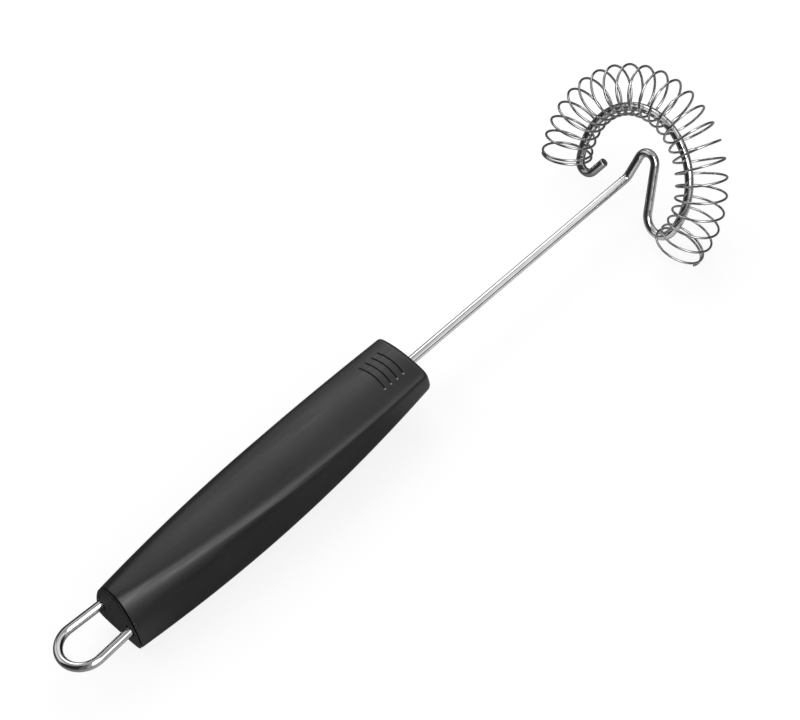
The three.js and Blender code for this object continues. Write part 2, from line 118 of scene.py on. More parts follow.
class WhiskWireSettings(bpy.types.PropertyGroup):
    """Thicknesses and bends of the shaft wire and the hanging loop."""

    thickness: length("Whisk wire", "Diameter of the wire of the shaft and the ring", 3.0)
    loop_thickness: length("Loop wire", "Diameter of the wire of the hanging loop", 3.1)
    shaft: length("Shaft", "Shaft from the handle to the kink", 101.6)
    ring_radius: length("Ring radius", "Radius of the ring's centre line", 23.5)
    tilt: angle("Head tilt", "How far the ring's plane leans up from the shaft", 54.7)
    steel: colour("Steel", "Colour of the polished steel", (0.72, 0.72, 0.725))
    roughness: share("Roughness", "Roughness of the polished steel", 0.05)


class WhiskCoilSettings(bpy.types.PropertyGroup):
    """Winding of the coil spring."""

    thickness: length("Spring wire", "Diameter of the spring's wire", 0.8)
    centre_radius: length("Centre radius", "Radius of the circle that the spring follows", 29.2)
    loop_radius: length("Loop radius", "Radius of one loop", 8.35)
    offset: length("Offset", "How far the spring rides off the ring's plane", 0.57)
    open_turns: IntProperty(
        name="Open turns", description="Turns between the two closed ends", default=22, min=4, max=60
    )
    pitch: angle("Pitch", "Angle round the ring from one loop to the next", 9.98)


class WhiskStageSettings(bpy.types.PropertyGroup):
    """Floor and light."""

    floor: colour("Floor", "Colour of the floor", (0.93, 0.93, 0.93))
    lamps: number("Lamps", "Strength of all lamps", 1.0, min=0.0, max=10.0)
    world: number("World", "Even light from all round", 0.45, min=0.0, max=2.0)


# Surfaces worked out on grids


def grid_mesh(name, rows, close_first=False, close_last=False, uv=None):
    """A mesh over a grid of points whose columns go round and close, with a fan to a pole at either end.

    Quad (r, c) joins P[r, c], P[r, c+1], P[r+1, c+1] and P[r+1, c]. A pole is the mean of its row. uv holds
    the distance along for each row and the length of one turn, and the map counts on past the seam."""
    count, around = rows.shape[:2]
    points = rows.reshape(-1, 3)
    r, c = np.meshgrid(np.arange(count - 1), np.arange(around), indexing="ij")
    n = (c + 1) % around
    here, above = r * around, (r + 1) * around
    quads = np.stack([here + c, here + n, above + n, above + c], -1).reshape(-1, 4)
    corner_r = np.stack([r, r, r + 1, r + 1], -1).reshape(-1)
    corner_c = np.stack([c, c + 1, c + 1, c], -1).reshape(-1)
    loops, starts, totals = [quads.reshape(-1)], [np.arange(len(quads)) * 4], [np.full(len(quads), 4)]
    uv_r, uv_c = [corner_r], [corner_c]
    used = len(quads) * 4
    ring = np.arange(around)
    for wanted, row, flip in ((close_first, 0, True), (close_last, count - 1, False)):
        if not wanted:
            continue
        pole = len(points)
        points = np.vstack([points, rows[row].mean(0)])
        a, b = row * around + ring, row * around + (ring + 1) % around
        tip = np.full(around, pole)
        fan = np.stack([tip, b, a] if flip else [tip, a, b], -1)
        loops.append(fan.reshape(-1))
        starts.append(used + np.arange(around) * 3)
        totals.append(np.full(around, 3))
        uv_r.append(np.full(around * 3, row))
        uv_c.append(np.stack([ring, ring + 1, ring] if flip else [ring, ring, ring + 1], -1).reshape(-1))
        used += around * 3
    mesh = bpy.data.meshes.new(name)
    loops = np.concatenate(loops)
    mesh.vertices.add(len(points))
    mesh.vertices.foreach_set("co", points.astype(np.float32).ravel())
    mesh.loops.add(len(loops))
    mesh.loops.foreach_set("vertex_index", loops.astype(np.int32))
    starts = np.concatenate(starts)
    mesh.polygons.add(len(starts))
    mesh.polygons.foreach_set("loop_start", starts.astype(np.int32))
    mesh.polygons.foreach_set("loop_total", np.concatenate(totals).astype(np.int32))
    if uv is not None:
        along, per_turn = uv
        layer = mesh.uv_layers.new(name="wire")
        u = np.concatenate(uv_c) / around * per_turn
        v = along[np.concatenate(uv_r)]
        layer.data.foreach_set("uv", np.stack([u, v], -1).astype(np.float32).ravel())
    mesh.update(calc_edges=True)
    mesh.validate()
    mesh.shade_smooth()
    return mesh


def piece(mesh, material, body, slot, *nodes):
    """Puts a finished mesh into the scene as a piece that rides on a body and stands for CAD nodes."""
    obj = bpy.data.objects.new(mesh.name, mesh)
    bpy.context.scene.collection.objects.link(obj)
    mesh.materials.append(material)
    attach(obj, body)
    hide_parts(*nodes)


def unit(v):
    """Vectors along the last axis, each divided by its length."""
    return v / np.linalg.norm(v, axis=-1, keepdims=True)


def held(values, times):
    """Rows with the first and the last one repeated so many times more."""
    return np.vstack([np.repeat(values[:1], times, 0), values, np.repeat(values[-1:], times, 0)])


def tube(name, path, radius, reference, sides, edge=0.0, edge_steps=4):
    """A round wire: the circle r (cos a N + sin a B) carried along a path.

    N is the reference direction with its part along the path taken off, and B = T x N.
    At both ends the radius falls as r - e (1 - cos b) while the row moves on by e sin b, and a pole closes
    it. The map has the distance round the wire and along it, in millimetres."""
    ahead = np.diff(path, axis=0)
    steps = unit(ahead)
    tangent = unit(np.vstack([steps[:1], steps[1:] + steps[:-1], steps[-1:]]))
    reference = np.broadcast_to(reference, path.shape)
    normal = unit(reference - (reference * tangent).sum(-1, keepdims=True) * tangent)
    radii = np.full(len(path), radius)
    if edge > 0:
        b = np.linspace(0, math.pi / 2, edge_steps + 1)[1:]
        out = edge * np.sin(b)[:, None]
        inner = radius - edge * (1 - np.cos(b))
        path = path.copy()
        path[0] += tangent[0] * edge
        path[-1] -= tangent[-1] * edge
        path = np.vstack([(path[:1] - tangent[:1] * out)[::-1], path, path[-1:] + tangent[-1:] * out])
        radii = np.concatenate([inner[::-1], radii, inner])
        tangent, normal = held(tangent, edge_steps), held(normal, edge_steps)
    binormal = np.cross(tangent, normal)
    a = np.arange(sides) / sides * TURN
    circle = np.cos(a)[None, :, None] * normal[:, None] + np.sin(a)[None, :, None] * binormal[:, None]
    rows = path[:, None] + radii[:, None, None] * circle
    along = np.concatenate([[0.0], np.cumsum(np.linalg.norm(np.diff(path, axis=0), axis=-1))])
    return grid_mesh(name, rows, True, True, uv=(along / MM, TURN * radius / MM))


def arc(centre, radius, start, sweep, step):
    """Points c + r (cos a, sin a), a going from start through sweep."""
    a = start + sweep * np.linspace(0, 1, max(3, int(abs(sweep) / step)))
    return np.stack([centre[0] + radius * np.cos(a), centre[1] + radius * np.sin(a)], -1)


def heading_to_circle(point, centre, radius, side):
    """Heading of the straight line from a point that runs into a circle on its left (+1) or right (-1)."""
    d = np.subtract(centre, point)
    return math.atan2(d[1], d[0]) - side * math.asin(radius / math.hypot(*d))


def direction(a):
    """(cos a, sin a)."""
    return np.array([math.cos(a), math.sin(a)])


def resampled(path, step):
    """The same path with points at even distances of step or a little more."""
    s = np.concatenate([[0.0], np.cumsum(np.linalg.norm(np.diff(path, axis=0), axis=-1))])
    keep = np.concatenate([[True], np.diff(s) > 1e-9])
    s, path = s[keep], path[keep]
    t = np.linspace(0, s[-1], max(2, int(s[-1] / step) + 1))
    return np.stack([np.interp(t, s, path[:, k]) for k in range(path.shape[1])], -1)


def bell(value, reach):
    """(1 - (v / r)^2)^2 within r of nought, and nothing past it."""
    return (1 - np.clip(np.abs(value) / reach, 0, 1) ** 2) ** 2


# Handle outline, in millimetres: three values are rear, middle and front, and two are rear and front

HALF_WIDTHS = (10.75, 13.25, 11.9)
TOPS = (9.4, 8.0, 7.25)
DEPTHS = (10.6, 13.35, 4.75)
FLATS = (1.6, 9.3, 11.85)
CROWN = 1.9
WIDEST = (-7.9, 1.9)
FLANK_POWERS = (1.7, 2.85)
BELLY_POWERS = (3.9, 3.55)
REAR_LEAN = math.tan(math.radians(5.0))
LEAN_FADES_OVER = 10.0
CAP_THICKNESS = 0.5
CAP_EDGE = 0.7
CAP_EDGE_TURN = math.radians(65.0)
PARTING_GAP = 0.45
BORE_RADIUS = 1.8
BORE_DEPTH = 8.0
GROOVE_HALF_SPAN = 6.15
GROOVE_SAG = 0.75
GROOVE_SETBACK = 5.95
PIP_OFFSET = 0.4
PIP_RADIUS = 0.45
PIP_HEIGHT = 0.15
RIM_EDGE = 0.15
BORE_EDGE = 0.25
BORE_EDGE_HOLLOW = 0.03
NARROWEST_FLAT = 0.4
LEAN_ROUNDS = 3

# Rows of the skin: how many up to each stop along the handle, and where the stops round the grooves lie
ROW_COUNTS = (16, 84, 150, 5)
REAR_ROWS_END = 12.0
BEHIND_GROOVES = 1.2
AHEAD_OF_GROOVES = 1.6
ROUNDING_STEPS = 8
RIM_STEPS = 3
FACE_STEPS = 7

# How the smoothing of the ridge fades out, in multiples of its reach
RIDGE_FADE_END = 3.2
RIDGE_FADE_OVER = 1.2

# Half width, lowest and highest z and front end of the rear pocket, in millimetres
POCKET = (9.5, -6.7, 2.8, 54.3)
POCKET_POWER = 4
POCKET_MOUTH = 1.5
POCKET_ROWS = 6

# Rows of the end cap, and how far its poles reach out as a share of its outline
CAP_EDGE_STEPS = 7
CAP_CORE = 0.35

# Columns of the skin: steps on each part of half a section, and the powers that space them
BELLY_STEPS = 26
FLANK_STEPS = 44
FLAT_STEPS = 76
BELLY_SPACING = 3.7
FLANK_SPACING = 2.2


def through_three(values, t):
    """The parabola through three values at t = 0, 0.5 and 1."""
    rear, middle, front = values
    return rear * (1 - t) * (1 - 2 * t) + middle * 4 * t * (1 - t) + front * t * (2 * t - 1)


def between(values, t):
    """The straight line through two values at t = 0 and 1."""
    return values[0] + (values[1] - values[0]) * t


def section_columns():
    """For each column round the section: its group (belly 0, flank 1, flat 2), its parameter and its side.

    The belly and flank parameters are angles of a superellipse spaced by its arc length."""

    def even(power, steps):
        a = np.linspace(0, math.pi / 2, 4000)
        p = np.stack([np.cos(a).clip(0) ** (2 / power), np.sin(a) ** (2 / power)], -1)
        s = np.concatenate([[0], np.cumsum(np.linalg.norm(np.diff(p, axis=0), axis=-1))])
        return np.interp(np.linspace(0, s[-1], steps + 1), s, a)

    belly = even(BELLY_SPACING, BELLY_STEPS)[::-1]
    flank = even(FLANK_SPACING, FLANK_STEPS)[1:]
    flat = 1 - np.linspace(0, 1, FLAT_STEPS + 1)[1:]
    group = np.concatenate([np.zeros(len(belly)), np.ones(len(flank)), np.full(len(flat), 2)])
    value = np.concatenate([belly, flank, flat])
    side = np.ones(len(group))
    back = slice(-2, 0, -1)
    return (
        np.concatenate([group, group[back]]),
        np.concatenate([value, value[back]]),
        np.concatenate([side, -side[back]]),
    )


GROUP, VALUE, SIDE = section_columns()


def outline(x, inset, settings):
    """(y, z) of the handle's skin at x, drawn in by inset, for every column round it.

    Belly: y = w |cos a|^(2/p), z = m - (m - b) |sin a|^(2/p). Flank: from the widest line up to the edge of
    the flat in the same way. Flat: y = f s, z = t - c s^2. All of w, m, b, f, t and c run along x."""
    t = x / (settings.long / MM)
    half_width = through_three(HALF_WIDTHS, t) - inset
    full_flat = through_three(FLATS, t)
    flat = np.maximum(full_flat - inset, NARROWEST_FLAT)
    top = through_three(TOPS, t) - inset
    crown = CROWN * (full_flat / FLATS[2]) ** 2
    edge = top - crown
    bottom = -through_three(DEPTHS, t) + inset
    widest = between(WIDEST, t)
    flank, belly = between(FLANK_POWERS, t), between(BELLY_POWERS, t)
    c, s = np.cos(VALUE).clip(0), np.sin(VALUE)
    y = np.select(
        [GROUP == 0, GROUP == 1],
        [half_width * c ** (2 / belly), flat + (half_width - flat) * c ** (2 / flank)],
        flat * VALUE,
    )
    z = np.select(
        [GROUP == 0, GROUP == 1],
        [widest - (widest - bottom) * s ** (2 / belly), widest + (edge - widest) * s ** (2 / flank)],
        top - crown * VALUE**2,
    )
    return y * SIDE, z


def skin_rows(x, inset, lean, settings):
    """Rows of the skin at x, each leaning forward by lean times its height, as points in millimetres."""
    x = np.asarray(x, float)[:, None]
    inset = np.asarray(inset, float)[:, None]
    lean = np.asarray(lean, float)[:, None]
    y, z = outline(x + 0 * VALUE, inset, settings)
    for _ in range(LEAN_ROUNDS):
        y, z = outline(x + lean * z, inset, settings)
    return np.stack([x + lean * z, y, z], -1)


def ridge_rounded(rows, settings):
    """Rows with the crease between the flat and the flanks smoothed across it.

    Each point becomes the mean of its row with weights exp(-(d / b)^2 / 2) dl, where d is the distance round
    the row and b runs from its rear to its front value. Past 2 b from the crease that fades out, to nothing
    at 3.2 b."""
    t = np.clip(rows[:, :, 0].mean(1) / (settings.long / MM), 0, 1)
    reach = (settings.rear_ridge + (settings.front_ridge - settings.rear_ridge) * t)[:, None, None] / MM
    step = np.linalg.norm(np.roll(rows, -1, axis=1) - rows, axis=-1)
    around = step.sum(1)[:, None, None]
    at = np.cumsum(step, axis=1) - step
    apart = np.abs(at[:, :, None] - at[:, None, :])
    apart = np.minimum(apart, around - apart)
    span_each = ((step + np.roll(step, 1, axis=1)) / 2)[:, None, :]
    weights = np.exp(-0.5 * (apart / reach) ** 2) * span_each
    soft = weights @ rows / weights.sum(-1, keepdims=True)
    crease = BELLY_STEPS + FLANK_STEPS
    away = np.minimum(apart[:, :, crease], apart[:, :, rows.shape[1] - crease])[..., None] / reach
    fade = np.clip((RIDGE_FADE_END - away) / RIDGE_FADE_OVER, 0, 1)
    return rows + (soft - rows) * fade**2 * (3 - 2 * fade)


def groove_arcs(settings):
    """(centre of the arc along x, radius, half its angle) for each grip groove, from the front one back."""
    radius = (GROOVE_HALF_SPAN**2 + GROOVE_SAG**2) / (2 * GROOVE_SAG)
    half = math.asin(GROOVE_HALF_SPAN / radius)
    first = settings.long / MM - GROOVE_SETBACK + GROOVE_SAG - radius
    return [(first - i * settings.groove_pitch / MM, radius, half) for i in range(settings.groove_count)]


def groove_depth(x, y, settings):
    """Depth of the grip grooves at (x, y): d (1 - (r / h)^2)^1.5 with r the distance to the nearest arc."""
    nearest = np.full(np.shape(x), np.inf)
    for centre, radius, half in groove_arcs(settings):
        a = np.clip(np.arctan2(y, x - centre), -half, half)
        away = np.hypot(x - centre - radius * np.cos(a), y - radius * np.sin(a))
        nearest = np.minimum(nearest, away)
    share_across = np.clip(nearest / (settings.groove_width / MM / 2), 0, 1)
    return settings.groove_depth / MM * (1 - share_across**2) ** 1.5


def pips(x, y, settings):
    """How far (x, y) is up a pip, from 0 to 1: (1 - (r / k)^2)^2 past the right-hand end of each groove."""
    raised = np.zeros(np.shape(x))
    for centre, radius, half in groove_arcs(settings):
        end = half + PIP_OFFSET / radius
        raised += bell(np.hypot(x - centre - radius * math.cos(end), y + radius * math.sin(end)), PIP_RADIUS)
    return raised


def pocket_row(x, columns_like):
    """A rounded oblong round the pocket at x, with a point in each column's direction from the middle.

    Its reach is (|cos a / w|^4 + |sin a / h|^4)^(-1/4)."""
    half_width, low, high, _ = POCKET
    middle, half_height = (low + high) / 2, (high - low) / 2
    a = np.arctan2(columns_like[:, 2] - middle, columns_like[:, 1])
    k = np.abs(np.cos(a) / half_width) ** POCKET_POWER + np.abs(np.sin(a) / half_height) ** POCKET_POWER
    k = k ** (-1 / POCKET_POWER)
    return np.stack([np.full(len(a), x), k * np.cos(a), middle + k * np.sin(a)], -1)


def shell_rows(settings):
    """All rows of the handle shell, each going once round.

    They start at the far end of the rear pocket, turn round the rim, run along the skin and round the front
    edge, and go across the front face into the bore."""
    long, edge = settings.long / MM, settings.front_edge / MM
    start, straight_end = CAP_THICKNESS + PARTING_GAP, long - edge
    grooves_long = (settings.groove_count - 1) * settings.groove_pitch / MM
    grooves_from = long - GROOVE_SETBACK - grooves_long - BEHIND_GROOVES
    grooves_to = long - GROOVE_SETBACK + AHEAD_OF_GROOVES
    stops = (start, REAR_ROWS_END, grooves_from, grooves_to, straight_end)
    stretches = zip(stops, stops[1:], ROW_COUNTS)
    x = np.concatenate([*(np.linspace(low, high, count)[:-1] for low, high, count in stretches), stops[-1:]])
    lean = REAR_LEAN * np.clip(1 - (x - start) / LEAN_FADES_OVER, 0, 1)
    skin = ridge_rounded(skin_rows(x, 0 * x, lean, settings), settings)
    on_flat = np.abs(skin[..., 1]) < GROOVE_HALF_SPAN + 1
    ahead, left = skin[..., 0], skin[..., 1]
    carved = groove_depth(ahead, left, settings) - PIP_HEIGHT * pips(ahead, left, settings)
    skin[..., 2] -= np.where(on_flat & (skin[..., 2] > 0), carved, 0)
    # The first row moves up to where the rounding of the rim ends
    skin[0] += [RIM_EDGE, 0, 0]
    b = np.linspace(0, math.pi / 2, ROUNDING_STEPS + 1)[1:]
    rounding = skin_rows(straight_end + edge * np.sin(b), edge * (1 - np.cos(b)), 0 * b, settings)
    rounding = ridge_rounded(rounding, settings)
    b = np.linspace(math.pi / 2, 0, RIM_STEPS + 1)[:-1]
    rim_x, rim_inset = start + RIM_EDGE * (1 - np.sin(b)), RIM_EDGE * (1 - np.cos(b))
    rim = ridge_rounded(skin_rows(rim_x, rim_inset, REAR_LEAN + 0 * b, settings), settings)
    mouth = pocket_row(start, rim[0])
    mouth[:, 0] += REAR_LEAN * mouth[:, 2]
    pocket_x = np.linspace(POCKET[3], start + POCKET_MOUTH, POCKET_ROWS)
    pocket = np.stack([pocket_row(s, rim[0]) for s in pocket_x] + [mouth])
    last = rounding[-1]
    a = np.arctan2(last[:, 2], last[:, 1])
    bore = np.stack([np.full(len(a), long), BORE_RADIUS * np.cos(a), BORE_RADIUS * np.sin(a)], -1)
    outer, inner, deep = bore.copy(), bore.copy(), bore.copy()
    outer[:, 1:] *= (BORE_RADIUS + BORE_EDGE) / BORE_RADIUS
    inner[:, 0] -= BORE_EDGE
    deep[:, 0] -= BORE_DEPTH
    turned = (outer + inner) / 2 - [BORE_EDGE_HOLLOW, 0, 0]
    face = last + np.linspace(0, 1, FACE_STEPS + 1)[1:-1, None, None] * (outer - last)
    return np.concatenate([pocket, rim, skin, rounding, face, np.stack([outer, turned, inner, deep])])


def handle_shell_mesh(settings):
    """The handle's outer moulding as one closed surface, with how far each point is up a pip as the mask of
    a painted glint.
    """
    rows = shell_rows(settings)
    mesh = grid_mesh("handle_shell_skin", rows * MM, True, True)
    x, y, z = np.moveaxis(rows, -1, 0)
    # Mask of the painted highlight on the pips: how far each point on the top is up a pip
    pip_glint = np.zeros(len(mesh.vertices), np.float32)
    pip_glint[: x.size] = np.where(z > 0, pips(x, y, settings), 0).ravel()
    mesh.attributes.new("pip_glint", "FLOAT", "POINT").data.foreach_set("value", pip_glint)
    return mesh


def cap_blank(settings):
    """The plate at the rear end: a face, an edge that turns by part of a quarter round, and a back.

    The face and the back are straight lines from the outline towards the middle, closed by poles."""
    b = np.linspace(math.pi / 2, math.pi / 2 - CAP_EDGE_TURN, CAP_EDGE_STEPS + 1)
    x = np.concatenate([CAP_EDGE * (1 - np.sin(b)), [CAP_THICKNESS]])
    inset = CAP_EDGE * (math.cos(b[-1]) - np.cos(b))
    inset = np.concatenate([inset, inset[-1:]])
    rows = ridge_rounded(skin_rows(x, inset - inset.min(), REAR_LEAN + 0 * x, settings), settings)
    middle = rows[0].mean(0)
    face = middle + np.linspace(CAP_CORE, 1, 4)[:-1, None, None] * (rows[0] - middle)
    back_middle = rows[-1].mean(0)
    back = back_middle + np.linspace(1, CAP_CORE, 3)[1:, None, None] * (rows[-1] - back_middle)
    return grid_mesh("end_cap_plate", np.concatenate([face, rows, back]) * MM, True, True)


# Wires, in millimetres and degrees

LOOP_Z = -2.5
LEG_SPACING = 14.7
LOOP_REACH = 13.4
LOOP_BEND = 8.1
LEG_DEPTH = 34.0
LEG_HOLE_CLEARANCE = 0.5
TANG_END = 26.0
KINK_BEND = 2.6
KINK_STEPS = 23
KINK_BACK = 1.5
KINK_SIDE = 2.4
WIRE_SIDES = 48
WIRE_END_EDGE = 0.28
LOOP_END_EDGE = 0.3
LOOP_STEP = 0.35
WIRE_STEP = 0.3

# Hairpin of the S-bend: radius, and its middle ahead and to the left of the ring's. Return bend: radius, and
# where on the ring it ends. Hook: radius, where on the ring it starts, how far it turns, and its tail.
HAIRPIN = (3.6, 6.7, -3.05)
RETURN_BEND = (6.0, -113.1)
HOOK = (3.6, 104.3, 136.0, 6.0)
FINE = math.radians(2.5)


def loop_path():
    """The hanging loop's centre line, where its leg meets the handle, and the heading of that leg.

    The line is two slightly spread legs and one arc that both run into."""
    entry = np.array([0.0, LEG_SPACING / 2])
    centre = np.array([-LOOP_REACH, 0.0])
    head = heading_to_circle(entry, centre, LOOP_BEND, 1)
    start = head - math.pi / 2
    bend = arc(centre, LOOP_BEND, start, (2 * (math.pi - start)) % TURN, FINE)
    inner = entry - direction(head) * LEG_DEPTH
    path = resampled(np.vstack([inner, bend, inner * [1, -1]]), LOOP_STEP)
    return np.column_stack([path, np.full(len(path), LOOP_Z)]), entry, head


def ring_axes(wires):
    """Directions ahead, sideways and square to the ring's plane."""
    ahead = np.array([math.cos(wires.tilt), 0.0, math.sin(wires.tilt)])
    side = np.array([0.0, 1.0, 0.0])
    return ahead, side, np.cross(ahead, side)


def kink_point(scene):
    """Where the shaft's line meets the ring's plane."""
    return np.array([(scene.whisk_handle.long + scene.whisk_wires.shaft) / MM, 0.0, 0.0])


def ring_centre(scene):
    """The centre of the ring, back and to the side of the kink."""
    ahead, side, _ = ring_axes(scene.whisk_wires)
    return kink_point(scene) + KINK_BACK * ahead - KINK_SIDE * side


def whisk_path(scene):
    """Centre line of shaft, kink, S-bend, ring and hook.

    It has straights and arcs c + r (cos a, sin a), and all but the shaft lie in the ring's plane."""
    wires = scene.whisk_wires
    ahead, side, _ = ring_axes(wires)
    ring = wires.ring_radius / MM
    start = np.array([-KINK_BACK, KINK_SIDE])
    hairpin = np.array(HAIRPIN[1:])
    first = heading_to_circle(start, hairpin, HAIRPIN[0], -1)
    turn_at = math.radians(RETURN_BEND[1])
    turn_centre = direction(turn_at) * (ring - RETURN_BEND[0])
    gap = turn_centre - hairpin
    leaning = math.asin((HAIRPIN[0] + RETURN_BEND[0]) / math.hypot(*gap))
    second = math.atan2(gap[1], gap[0]) - leaning - TURN
    hook_at, hook_sweep = math.radians(HOOK[1]), math.radians(HOOK[2])
    hook = arc(direction(hook_at) * (ring - HOOK[0]), HOOK[0], hook_at, hook_sweep, FINE)
    turn_from = second - math.pi / 2
    flat = np.vstack(
        [
            arc(hairpin, HAIRPIN[0], first + math.pi / 2, -((first - second) % TURN), FINE),
            arc(turn_centre, RETURN_BEND[0], turn_from, (turn_at - turn_from) % TURN, FINE),
            arc((0.0, 0.0), ring, turn_at, (hook_at - turn_at) % TURN, FINE / 2),
            hook,
            hook[-1] + direction(hook_at + math.pi / 2 + hook_sweep) * HOOK[3],
        ]
    )
    in_ring = ring_centre(scene) + flat[:, :1] * ahead + flat[:, 1:] * side
    limb = math.cos(first) * ahead + math.sin(first) * side
    bend = math.acos(limb[0])
    inward = unit(limb - np.array([math.cos(bend), 0, 0]))
    a = np.linspace(0, bend, KINK_STEPS + 1)[:, None]
    corner = kink_point(scene) - [KINK_BEND * math.tan(bend / 2), 0, 0]
    kink = corner + KINK_BEND * (np.sin(a) * np.array([1.0, 0, 0]) + (1 - np.cos(a)) * inward)
    return resampled(np.vstack([[TANG_END, 0, 0], kink, in_ring]), WIRE_STEP)


# Coil spring

CLOSED_TURNS = 1
HOOK_END_TURNS = 0.875
CLOSED_PITCH = math.radians(2.1)
COIL_START = math.radians(102.3)
SETTLE_TURNS = 1.2
HOOK_CROWDING = math.radians(3.8)
HOOK_LEAN = math.radians(5.9)
HOOK_FAN = math.radians(-2.0)
BEND_FAN = math.radians(3.0)
HOOK_TUCK = math.radians(1.65)
BEND_TUCK = math.radians(1.75)
STEPS_PER_TURN = 64
SPRING_SIDES = 14
SPRING_END_EDGE = 0.1

# Where the tucks lie, in turns past the start and the end of the open turns, and how many turns they reach
HOOK_TUCK_AT = (0.35, 0.6)
BEND_TUCK_AT = (0.68, 0.33)


def coil_path(scene):
    """Centre line of the spring and the direction out from its own core.

    At turn t the wire is at C + (R + r cos w) O(q) + (h + r sin w) N with w = 2 pi t. The angle q runs back
    by the pitch for each open turn. Shares that fade as exp(-t / s) away from an end crowd, lean and fan the
    loops there, and a bell tucks the last turn in beside its neighbour."""
    coil, wires = scene.whisk_coil, scene.whisk_wires
    ahead, side, square = ring_axes(wires)
    big, small = coil.centre_radius / MM, coil.loop_radius / MM
    turns = coil.open_turns
    steps = round((turns + HOOK_END_TURNS + CLOSED_TURNS) * STEPS_PER_TURN)
    t = np.linspace(-HOOK_END_TURNS, turns + CLOSED_TURNS, steps + 1)
    open_part = np.clip(t, 0, turns)
    closed = np.clip(t - turns, 0, None) - np.clip(-t, 0, None)
    near_hook = np.exp(-open_part / SETTLE_TURNS)
    near_bend = np.exp(-(turns - open_part) / SETTLE_TURNS)
    w = TURN * t
    reach = big + small * np.cos(w)
    q = COIL_START + HOOK_CROWDING * (1 - near_hook) - open_part * coil.pitch - closed * CLOSED_PITCH
    q += HOOK_LEAN * near_hook * np.sin(w) * small / reach
    q += (HOOK_FAN * near_hook + BEND_FAN * near_bend) * np.cos(w)
    q += HOOK_TUCK * bell(t - HOOK_TUCK_AT[0], HOOK_TUCK_AT[1])
    q += BEND_TUCK * bell(t - turns - BEND_TUCK_AT[0], BEND_TUCK_AT[1])
    out = np.cos(q)[:, None] * ahead + np.sin(q)[:, None] * side
    off_plane = coil.offset / MM + small * np.sin(w)
    path = ring_centre(scene) + reach[:, None] * out + off_plane[:, None] * square
    outward = np.cos(w)[:, None] * out + np.sin(w)[:, None] * square
    return path, outward


# Materials: scales of patterns are in cells per metre, or per millimetre on the map of a wire

WHITE = (1.0, 1.0, 1.0, 1.0)
GRAIN = 2600.0
CLOUDS = 38.0
RUBS = (60.0, 900.0, 900.0)
# Pale grey painted on the pip tips as a highlight
PIP_GLINT_TONE = (0.42, 0.42, 0.42, 1.0)
SMUDGES = 160.0
DRAWN_ALONG = 0.16
WORN_SHARE = 0.88
WIRE_STREAKS = 5.0
SPRING_STREAKS = 4.0
# Share of the steel colour kept on the spring: painted shade that darkens the coil's reflections
SPRING_PAINTED_SHADE = 0.66


class Nodes:
    """A node tree, built a node at a time."""

    def __init__(self, tree):
        self.tree = tree

    def node(self, kind, settings=None, **inputs):
        """A node with its own settings and with inputs set, or linked where the value is a socket.

        An input is named, or given by its number as _0, _1 and so on."""
        made = self.tree.nodes.new(kind)
        for key, value in (settings or {}).items():
            setattr(made, key, value)
        for key, value in inputs.items():
            socket = made.inputs[int(key[1:])] if key[0] == "_" and key[1:].isdigit() else made.inputs[key]
            if isinstance(value, bpy.types.NodeSocket):
                self.tree.links.new(value, socket)
            else:
                socket.default_value = value
        return made

    def math(self, operation, first, second):
        """The outcome of one sum."""
        return self.node("ShaderNodeMath", {"operation": operation}, _0=first, _1=second).outputs[0]

    def mix(self, share, first, second, blend="MIX"):
        """The colour between two, by a share."""
        settings = {"data_type": "RGBA", "blend_type": blend}
        return self.node("ShaderNodeMix", settings, _0=share, _6=first, _7=second).outputs[2]

    def attribute(self, name):
        return self.node("ShaderNodeAttribute", {"attribute_name": name}).outputs["Fac"]

    def share_between(self, value, low, high):
        """How far a value is from low to high, from 0 to 1."""
        return self.node("ShaderNodeMapRange", _0=value, _1=low, _2=high).outputs["Result"]

    def places(self):
        return self.node("ShaderNodeTexCoord").outputs["Object"]

    def wire_map(self):
        return self.node("ShaderNodeUVMap", {"uv_map": "wire"}).outputs["UV"]

    def stretched(self, vector, scale):
        return self.node("ShaderNodeMapping", Vector=vector, Scale=scale).outputs["Vector"]

    def noise(self, vector, scale, detail=2.0, rough=0.5):
        settings = {"Vector": vector, "Scale": scale, "Detail": detail, "Roughness": rough}
        return self.node("ShaderNodeTexNoise", **settings).outputs["Fac"]

    def ramp(self, value, stops):
        """A greyscale or colour ramp; stops are (position, grey or colour)."""
        made = self.node("ShaderNodeValToRGB", Fac=value)
        band = made.color_ramp
        for i, (at, tone) in enumerate(stops):
            element = band.elements[i] if i < 2 else band.elements.new(at)
            element.position = at
            element.color = (tone, tone, tone, 1.0) if isinstance(tone, float) else (*tone, 1.0)
        return made.outputs["Color"]

    def bump(self, height, distance, strength):
        made = self.node("ShaderNodeBump", Height=height, Distance=distance, Strength=strength)
        return made.outputs["Normal"]

    def glow(self, strength):
        """White light of the given strength."""
        return self.node("ShaderNodeEmission", Color=WHITE, Strength=strength).outputs[0]


class Shader(Nodes):
    """A material with a Principled shader."""

    def __init__(self, name, base, roughness, metallic=0.0):
        self.material = bpy.data.materials.new(name)
        self.material.use_nodes = True
        super().__init__(self.material.node_tree)
        self.principled = self.tree.nodes["Principled BSDF"]
        self.principled.inputs["Base Color"].default_value = (*base, 1.0)
        self.principled.inputs["Roughness"].default_value = roughness
        self.principled.inputs["Metallic"].default_value = metallic

    def link(self, socket, target):
        """Links a socket to an input of the Principled shader."""
        self.tree.links.new(socket, self.principled.inputs[target])

    def surface(self, socket):
        """Shows another shader in place of the Principled one."""
        self.tree.links.new(socket, self.tree.nodes["Material Output"].inputs["Surface"])


